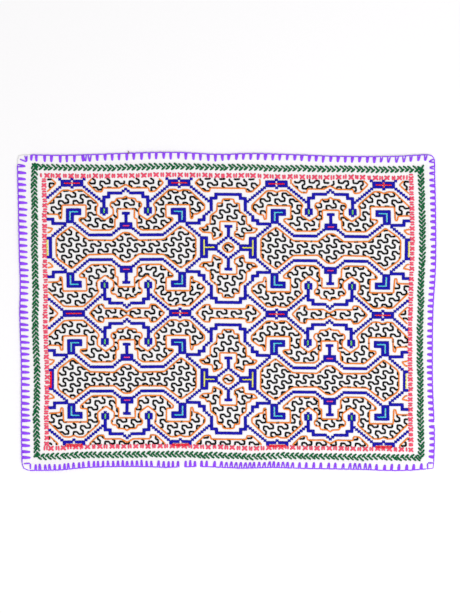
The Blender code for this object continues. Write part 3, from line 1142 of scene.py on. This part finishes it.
def surface(nodes, colour, bump=None, **settings):
    """Finishes the shader: its colour, its settings, and its bump's height, strength and depth in mm."""
    shader = settle(nodes["Principled BSDF"], **settings)
    nodes.id_data.links.new(colour, shader.inputs["Base Color"])
    if bump is not None:
        height, strength, depth_mm = bump
        relief = add_node(
            nodes, "ShaderNodeBump", [("Height", height)], Strength=strength, Distance=depth_mm * MM
        )
        nodes.id_data.links.new(relief.outputs["Normal"], shader.inputs["Normal"])


def new_material(name):
    material = bpy.data.materials.new(name)
    material.use_nodes = True
    return material, material.node_tree.nodes


def woven_cotton(colour):
    """Bleached plain-woven cotton: a fine even grid of threads, with painted shade in the small hollows
    between them, matt, with the faint mottle of hand-washed cloth."""
    material, nodes = new_material("bleached_plain_woven_cotton")
    place = add_node(nodes, "ShaderNodeTexCoord").outputs["Object"]
    axes = add_node(nodes, "ShaderNodeSeparateXYZ", [(0, place)])
    turns = math.pi / (WEAVE_SPACING_MM * MM)
    waves = []
    for axis in ("X", "Y"):
        wave = math_node(nodes, "SINE", math_node(nodes, "MULTIPLY", axes.outputs[axis], turns))
        waves.append(math_node(nodes, "ABSOLUTE", wave))
    weave = math_node(nodes, "MAXIMUM", *waves)
    mottle = add_node(nodes, "ShaderNodeTexNoise", [("Vector", place)], Scale=420.0, Detail=3.0)
    # The colour is darker in the weave's small hollows, which is painted shade, and where a random mottle
    # falls.
    pit_shade_mask = add_node(nodes, "ShaderNodeMapRange", [(0, weave)], From_Min=0.25, From_Max=0.75)
    shade = math_node(nodes, "MULTIPLY", pit_shade_mask.outputs[0], mottle.outputs[0])
    surface(
        nodes, mix_node(nodes, shade, colour, 0.92), (weave, 0.35, 0.2),
        Roughness=0.92, IOR=1.5, Specular_IOR_Level=0.2, Sheen_Weight=0.1,
    )
    return material


def stranded_cotton(name, colour):
    """Six-strand mercerised cotton: fine strands side by side with a slight twist, with painted shade
    in the grooves between them, a soft sheen, and a tone that differs a little from stitch to stitch."""
    material, nodes = new_material(f"stranded_cotton_{name}")
    thread = add_node(nodes, "ShaderNodeUVMap", uv_map="thread").outputs["UV"]
    axes = add_node(nodes, "ShaderNodeSeparateXYZ", [(0, thread)])
    around = math_node(nodes, "MULTIPLY", axes.outputs["Y"], 2.0 * math.pi * STRANDS_ROUND)
    along = math_node(nodes, "MULTIPLY", axes.outputs["X"], 2.0 * math.pi / TWIST_MM)
    ridge = math_node(nodes, "SINE", math_node(nodes, "ADD", around, along))
    # Painted shade: the colour is darker in the grooves between the strands.
    groove_shade_mask = add_node(nodes, "ShaderNodeMapRange", [(0, ridge)], From_Min=-1.0, To_Min=0.0)
    tone = add_node(nodes, "ShaderNodeAttribute", attribute_name="stitch_tone")
    spread = add_node(nodes, "ShaderNodeMapRange", [(0, tone.outputs["Fac"])], To_Min=0.98, To_Max=1.12)
    groove_shaded_colour = mix_node(nodes, groove_shade_mask.outputs[0], colour, 0.9)
    varied = add_node(nodes, "ShaderNodeMix", data_type="RGBA", blend_type="MULTIPLY", Factor=1.0)
    nodes.id_data.links.new(groove_shaded_colour, varied.inputs["A"])
    nodes.id_data.links.new(spread.outputs[0], varied.inputs["B"])
    surface(
        nodes, varied.outputs["Result"], (ridge, 0.5, 0.12),
        Roughness=0.55, IOR=1.5, Specular_IOR_Level=0.12,
    )
    return material


def studio_floor(colour):
    """Matt white paper sweep: pale, with the least trace of its fibre."""
    material, nodes = new_material("matt_white_paper")
    place = add_node(nodes, "ShaderNodeTexCoord").outputs["Object"]
    fibre = add_node(nodes, "ShaderNodeTexNoise", [("Vector", place)], Scale=300.0, Detail=2.0)
    tint = mix_node(nodes, fibre.outputs[0], colour, 0.985)
    surface(nodes, tint, Roughness=0.95, Specular_IOR_Level=0.1)
    return material


# The sheet's mesh

def sheet_rows():
    """The points in plan of the grid inside the hem, which follows the cloth's uneven sides."""
    low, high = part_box(SHEET_NODE)
    inset = HEM_RINGS_MM[-1]
    width = (high[0] - low[0]) / MM
    height = (high[1] - low[1]) / MM
    half_x = width / 2.0 - inset - GRID_MARGIN_MM
    half_y = height / 2.0 - inset - GRID_MARGIN_MM
    from_x = half_x - RIM_SEARCH_MM
    from_y = half_y - RIM_SEARCH_MM
    across = int(round(2.0 * half_x / SHEET_CELL_MM))
    down = int(round(2.0 * half_y / SHEET_CELL_MM))
    u = np.linspace(0.0, 1.0, across + 1)
    v = np.linspace(0.0, 1.0, down + 1)
    ys = -half_y + 2.0 * half_y * v
    left = np.array([rim_point((-from_x, y), (-1.0, 0.0)) for y in ys]) + (inset, 0.0)
    right = np.array([rim_point((from_x, y), (1.0, 0.0)) for y in ys]) - (inset, 0.0)
    xs_bottom = left[0, 0] + (right[0, 0] - left[0, 0]) * u
    xs_top = left[-1, 0] + (right[-1, 0] - left[-1, 0]) * u
    bottom = np.array([rim_point((x, -from_y), (0.0, -1.0)) for x in xs_bottom]) + (0.0, inset)
    top = np.array([rim_point((x, from_y), (0.0, 1.0)) for x in xs_top]) - (0.0, inset)
    left[:, 1] = bottom[0, 1] + (top[0, 1] - bottom[0, 1]) * v
    right[:, 1] = bottom[-1, 1] + (top[-1, 1] - bottom[-1, 1]) * v
    left[0], left[-1], right[0], right[-1] = bottom[0], top[0], bottom[-1], top[-1]
    share_u = u[None, :, None]
    share_v = v[:, None, None]
    return (
        bottom[None] * (1.0 - share_v)
        + top[None] * share_v
        + left[:, None] * (1.0 - share_u)
        + right[:, None] * share_u
        - bottom[0] * (1.0 - share_u) * (1.0 - share_v)
        - bottom[-1] * share_u * (1.0 - share_v)
        - top[0] * (1.0 - share_u) * share_v
        - top[-1] * share_u * share_v
    )


def ring_indices(rows, columns, ring=0):
    """Grid places round one ring of the grid, anticlockwise from its lower left corner."""
    last_row = rows - 1 - ring
    last_column = columns - 1 - ring
    places = [(ring, column) for column in range(ring, last_column)]
    places += [(row, last_column) for row in range(ring, last_row)]
    places += [(last_row, column) for column in range(last_column, ring, -1)]
    places += [(row, ring) for row in range(last_row, ring, -1)]
    return places


def outward(rows, columns):
    """Directions out of the grid at its rim: square to each side, turning round the corners."""
    directions = []
    for row, column in ring_indices(rows, columns):
        side_x = -1.0 if column < columns / 2 else 1.0
        side_y = -1.0 if row < rows / 2 else 1.0
        from_x = min(column, columns - 1 - column)
        from_y = min(row, rows - 1 - row)
        on_upright = from_x == 0
        steps = from_y if on_upright else from_x
        angle = math.radians(45.0) * max(0.0, 1.0 - steps / CORNER_FAN)
        straight = math.cos(angle)
        sideways = math.sin(angle)
        if on_upright:
            directions.append((side_x * straight, side_y * sideways))
        else:
            directions.append((side_x * sideways, side_y * straight))
    return np.array(directions)


def build_sheet(material):
    """The cotton sheet: its stitched face follows the solid's, drawn in under the stitches."""
    grid = sheet_rows()
    rows, columns = grid.shape[:2]
    rim_of_grid = ring_indices(rows, columns)
    directions = outward(rows, columns)
    inner_loop = np.array([grid[place] for place in rim_of_grid])
    outer_loop = np.array([rim_point(p, d, HEM_REACH_MM) for p, d in zip(inner_loop, directions)])
    made["rim"] = outer_loop
    shares = np.array(HEM_RINGS_MM) / HEM_RINGS_MM[-1]
    rings = [outer_loop + (inner_loop - outer_loop) * share for share in shares[:-1]]

    points = []
    numbers = {}

    def add(key, x, y, z):
        numbers[key] = len(points)
        points.append((x * MM, y * MM, z * MM))

    grid_heights = height_at(grid)
    for row in range(rows):
        for column in range(columns):
            x, y = grid[row, column]
            add(("up", row, column), x, y, grid_heights[row, column])
    middle = outer_loop.mean(axis=0)
    for ring, loop in enumerate(rings):
        for index, (x, y) in enumerate(loop):
            inward = (middle - (x, y)) / np.linalg.norm(middle - (x, y))
            read = (x + inward[0] * RIM_READ_MM, y + inward[1] * RIM_READ_MM)
            add(("hem_up", ring, index), x, y, upper_face(*read) or RIM_HEIGHTS_MM[0])
            add(("hem_down", ring, index), x, y, lower_face(*read) or RIM_HEIGHTS_MM[1])
    flat = FLAT_UNDERSIDE_RING
    for ring in range(flat + 1):
        for row, column in ring_indices(rows, columns, ring):
            x, y = grid[row, column]
            add(("down", row, column), x, y, lower_face(x, y) or 0.0)

    faces = []
    for row in range(rows - 1):
        for column in range(columns - 1):
            square = ((row, column), (row, column + 1), (row + 1, column + 1), (row + 1, column))
            faces.append([numbers[("up", *corner)] for corner in square])
            if all(("down", *corner) in numbers for corner in square):
                faces.append([numbers[("down", *corner)] for corner in reversed(square)])
    faces.append([numbers[("down", *place)] for place in reversed(ring_indices(rows, columns, flat))])
    around = len(rim_of_grid)

    def hem_number(face, ring, index):
        if ring == len(rings):
            kind = "up" if face == "hem_up" else "down"
            return numbers[(kind, *rim_of_grid[index])]
        return numbers[(face, ring, index)]

    for index in range(around):
        after = (index + 1) % around
        for ring in range(len(rings)):
            square = ((ring, index), (ring, after), (ring + 1, after), (ring + 1, index))
            faces.append([hem_number("hem_up", *corner) for corner in square])
            faces.append([hem_number("hem_down", *corner) for corner in reversed(square)])
        rim = (("hem_down", index), ("hem_down", after), ("hem_up", after), ("hem_up", index))
        faces.append([hem_number(face, 0, place) for face, place in rim])
    mesh = bpy.data.meshes.new("cotton_sheet")
    mesh.from_pydata(points, [], faces)
    mesh.validate()
    mesh.materials.append(material)
    mesh.shade_smooth()
    return placed("cotton_sheet", mesh)


# Edging strands

def edging_groups():
    """The purple blanket stitch: V-shaped legs over the hem, and the thread that joins them."""
    generator = np.random.default_rng(SEED + 3)
    rim = np.concatenate([made["rim"], made["rim"][:1]])
    along_rim = path_lengths(rim)
    bases = []
    legs = []
    for side, first, last, count, leg, spread, lean, strands in EDGING_RUNS:
        which, along, out = BORDER_SIDES[side]
        along = np.abs(np.array(along))
        out = np.array(out)
        start = HEMMED_SIZE_MM[which] / 2.0 - EDGE_SEARCH_MM
        shake = generator.normal(0.0, LEG_PLACE_WOBBLE_MM, count)
        for place in np.linspace(first, last, count) + shake:
            edge = np.array(rim_point(along * place + out * start, out))
            length = leg * generator.normal(1.0, LEG_LENGTH_SPREAD)
            tip = edge - out * length + along * (lean + generator.normal(0.0, LEG_LEAN_WOBBLE_MM))
            width = spread * generator.uniform(*LEG_WIDTH_SHARES)
            for turn in np.linspace(-0.5, 0.5, strands):
                base = edge + out * EDGE_REACH_MM + along * width * turn
                legs.append((tip + along * turn * LEG_TIP_MM, base))
            bases.append(along_rim[np.argmin(np.linalg.norm(rim[:-1] - edge, axis=1))])
    for x, y, to_x, to_y in EDGING_CORNERS:
        legs.append(((x, y), (to_x, to_y)))
        bases.append(along_rim[np.argmin(np.linalg.norm(rim[:-1] - (to_x, to_y), axis=1))])
    legs = np.array(legs)
    leg_strands = laid(straight_strands(legs[:, 0], legs[:, 1]), "edging_leg")
    return [leg_strands, edge_line_strands(rim, along_rim, np.unique(np.round(bases, 1)))]


def edge_line_strands(rim, along_rim, knots):
    """The thread that lies along the edge from leg to leg."""
    total = along_rim[-1]
    knots = np.concatenate([knots, knots[:1] + total])
    knots = knots[np.concatenate([[True], np.diff(knots) > KNOT_SPACING_MM])]
    lengths = knots[1:] - knots[:-1] + 2.0 * EDGE_LINE_OVERLAP_MM
    spans = knots[:-1, None] - EDGE_LINE_OVERLAP_MM + np.array(RING_PLACES) * lengths[:, None]
    line = along_path(spans % total, along_rim, rim)
    for side, low, high in EDGE_LINE_GAPS:
        which, _, out = BORDER_SIDES[side]
        middle = line.mean(axis=1)
        place = middle[:, 1 - which]
        beside = middle[:, which] * out[which] > HEMMED_SIZE_MM[which] / 2.0 - EDGE_LINE_BAND_MM
        line = line[~(beside & (place > low) & (place < high))]
    share = line / np.array(HEMMED_SIZE_MM)
    is_side = np.abs(share[..., :1]) > np.abs(share[..., 1:])
    inwards = -np.sign(share) * np.where(is_side, (1.0, 0.0), (0.0, 1.0))
    heights = height_at(line + inwards * EDGE_HEIGHT_INSET_MM) - EDGE_LINE_DEPTH_MM
    return np.concatenate([line + inwards * EDGE_LINE_INSET_MM, heights[..., None]], axis=-1)


# What a user can change

def width_property(use, thread, width_mm):
    return FloatProperty(
        name=f"{use.capitalize()} width", description=f"Width of the {thread} thread",
        default=width_mm * MM, min=WIDTH_LIMITS_MM[0] * MM, max=WIDTH_LIMITS_MM[1] * MM, unit="LENGTH",
    )


class ThreadSizes(bpy.types.PropertyGroup):
    """Widths of the threads as they lie on the cloth."""

    __annotations__ = {
        f"{use}_width": width_property(use, *width) for use, width in THREAD_WIDTHS_MM.items()
    }


def colour_property(name, hex_code):
    label = name.replace("_", " ")
    return FloatVectorProperty(
        name=label.capitalize(), description=f"Colour of the {label}", subtype="COLOR", size=3,
        default=linear(hex_code), min=0.0, max=1.0,
    )


class ClothColours(bpy.types.PropertyGroup):
    """Colours of the cloth, the floor and each thread."""

    __annotations__ = {
        name: colour_property(name, hex_code)
        for name, hex_code in {"cotton": COTTON_HEX, "floor": FLOOR_HEX, **THREAD_HEX}.items()
    }


def thread_piece(context, name, groups, shares=None):
    """Makes one piece of stitching, which moves with the cloth."""
    thread, slot, use, thickness_mm, seed = PIECES[name]
    material = stranded_cotton(thread, tuple(getattr(context.scene.cloth_colours, thread)))
    width_mm = getattr(context.scene.cloth_threads, f"{use}_width") / MM
    generator = np.random.default_rng(SEED + seed)
    piece = strands_object(name, groups, width_mm, thickness_mm, material, generator, shares)
    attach(piece, "root")
    made.setdefault("pieces", []).append(piece)


class StitchOperator:
    """What the operators of the stitching share: each gives its pieces' names and strands."""

    def execute(self, context):
        for piece in self.pieces():
            thread_piece(context, *piece)
        return {"FINISHED"}


class CLOTH_OT_sheet(bpy.types.Operator):
    """Lay the hemmed cotton sheet"""

    bl_idname = "cloth.sheet"
    bl_label = "Cotton sheet"

    def execute(self, context):
        sheet = build_sheet(woven_cotton(tuple(context.scene.cloth_colours.cotton)))
        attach(sheet, "root")
        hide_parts(SHEET_NODE)
        made["sheet"] = sheet
        return {"FINISHED"}


class CLOTH_OT_navy_crosses(StitchOperator, bpy.types.Operator):
    """Work the navy cross-stitch"""

    bl_idname = "cloth.navy_crosses"
    bl_label = "Navy cross-stitch"

    def pieces(self):
        counts = navy_counts()
        size_mm = (COLUMN_MM * CROSS_SHARES[0], ROW_MM * CROSS_SHARES[1])
        for number, (name, low, high) in enumerate(NAVY_PIECES):
            centres = counts_to_mm(counts[(counts[:, 0] >= low) & (counts[:, 0] < high)])
            generator = np.random.default_rng(SEED + CROSS_SEED + number)
            under, upper = cross_strands(centres, *size_mm, generator, CROSS_WOBBLE_MM)
            yield name, [laid(under, "cross_under"), laid(upper, "cross_upper")]


class CLOTH_OT_orange_outlines(StitchOperator, bpy.types.Operator):
    """Work the orange outlines in stem stitch"""

    bl_idname = "cloth.orange_outlines"
    bl_label = "Orange outlines"

    def pieces(self):
        strands = np.concatenate([stitches_along(run) for run in outline_runs()])
        yield "orange_outlines", [laid(strands, "outline")]


class CLOTH_OT_black_meander(StitchOperator, bpy.types.Operator):
    """Work the black meander fill in back stitch"""

    bl_idname = "cloth.black_meander"
    bl_label = "Black meander"

    def pieces(self):
        strands = straight_strands(*reached(*meander_stitches(), MEANDER_REACH_MM))
        yield "black_meander", [laid(strands, "meander")]


class CLOTH_OT_bright_fills(StitchOperator, bpy.types.Operator):
    """Work the bright fills inside the navy shapes"""

    bl_idname = "cloth.bright_fills"
    bl_label = "Bright fills"

    def pieces(self):
        for number, thread in enumerate(BRIGHT_THREADS):
            generator = np.random.default_rng(SEED + FILL_SEED + number)
            strands = zigzag_strands(bright_lines(thread), generator)
            yield f"{thread}_fills", [laid(strands, "fill")]


class CLOTH_OT_green_border(StitchOperator, bpy.types.Operator):
    """Work the green chevron border"""

    bl_idname = "cloth.green_border"
    bl_label = "Green chevrons"

    def pieces(self):
        outer, inner = chevron_strands()
        yield "green_chevrons", [laid(inner, "chevron_inner"), laid(outer, "chevron_outer")]


class CLOTH_OT_pink_border(StitchOperator, bpy.types.Operator):
    """Work the pink border of crosses and bars"""

    bl_idname = "cloth.pink_border"
    bl_label = "Pink crosses and bars"

    def pieces(self):
        under, upper, bars = pink_strands()
        groups = [laid(under, "pink_under"), laid(upper, "pink_upper"), laid(bars, "pink_bar")]
        yield "pink_crosses_and_bars", groups, (1.0, 1.0, PINK_BAR_SHARE)


class CLOTH_OT_purple_edging(StitchOperator, bpy.types.Operator):
    """Work the purple blanket stitch over the hem"""

    bl_idname = "cloth.purple_edging"
    bl_label = "Purple edging"

    def pieces(self):
        yield "purple_edging", edging_groups()


class CLOTH_OT_stage(bpy.types.Operator):
    """Set the floor, the lights and the camera straight above the cloth"""

    bl_idname = "cloth.stage"
    bl_label = "Stage"

    def execute(self, context):
        scene = context.scene
        mesh = bpy.data.meshes.new("floor")
        turns = ((-1.0, -1.0), (1.0, -1.0), (1.0, 1.0), (-1.0, 1.0))
        corners = [(x * FLOOR_REACH, y * FLOOR_REACH, FLOOR_HEIGHT) for x, y in turns]
        mesh.from_pydata(corners, [], [(0, 1, 2, 3)])
        mesh.materials.append(studio_floor(tuple(scene.cloth_colours.floor)))
        floor = placed("floor", mesh)

        world = bpy.data.worlds.new("soft_studio")
        world.use_nodes = True
        background = world.node_tree.nodes["Background"]
        background.inputs["Color"].default_value = (1.0, 1.0, 1.0, 1.0)
        background.inputs["Strength"].default_value = WORLD_STRENGTH
        scene.world = world

        lamp = bpy.data.lights.new("soft_box", "AREA")
        lamp.shape = "SQUARE"
        lamp.size = LAMP_SIZE
        lamp.energy = LAMP_WATTS
        soft_box = placed("soft_box", lamp)
        soft_box.location = LAMP_PLACE
        soft_box.rotation_euler = (-Vector(LAMP_PLACE)).to_track_quat("-Z", "Y").to_euler()

        camera_data = bpy.data.cameras.new("camera_above")
        camera_data.sensor_fit = "VERTICAL"
        camera_data.sensor_height = SENSOR_MM
        camera_data.lens = LENS_MM
        camera = placed("camera_above", camera_data)
        distance_mm = FRAME_HEIGHT_MM * LENS_MM / SENSOR_MM
        camera.location = [value * MM for value in (*FRAME_MIDDLE_MM, distance_mm + FACE_HEIGHT_MM)]
        scene.camera = camera
        scene.view_settings.view_transform = "Standard"
        return {"FINISHED"}


class CLOTH_PT_panel(bpy.types.Panel):
    """Lists the pieces of the embroidered cloth"""

    bl_idname = "CLOTH_PT_panel"
    bl_label = "Embroidered Cloth"
    bl_space_type = "VIEW_3D"
    bl_region_type = "UI"
    bl_category = "Cloth"

    def draw(self, context):
        layout = self.layout
        for operator in OPERATORS:
            layout.operator(operator.bl_idname)
        for group in (context.scene.cloth_threads, context.scene.cloth_colours):
            for name in group.__annotations__:
                layout.prop(group, name)


OPERATORS = (
    CLOTH_OT_stage,
    CLOTH_OT_sheet,
    CLOTH_OT_navy_crosses,
    CLOTH_OT_orange_outlines,
    CLOTH_OT_black_meander,
    CLOTH_OT_bright_fills,
    CLOTH_OT_green_border,
    CLOTH_OT_pink_border,
    CLOTH_OT_purple_edging,
)
CLASSES = (ThreadSizes, ClothColours, *OPERATORS, CLOTH_PT_panel)


def register():
    for each in CLASSES:
        bpy.utils.register_class(each)
    bpy.types.Scene.cloth_threads = PointerProperty(type=ThreadSizes)
    bpy.types.Scene.cloth_colours = PointerProperty(type=ClothColours)


def unregister():
    del bpy.types.Scene.cloth_colours
    del bpy.types.Scene.cloth_threads
    for each in reversed(CLASSES):
        bpy.utils.unregister_class(each)


def main():
    register()
    for operator in OPERATORS:
        group, name = operator.bl_idname.split(".")
        result = getattr(getattr(bpy.ops, group), name)()
        if result != {"FINISHED"}:
            raise RuntimeError(f"{operator.bl_label} didn't finish")
    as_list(made["pieces"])


if __name__ == "__main__":
    main()
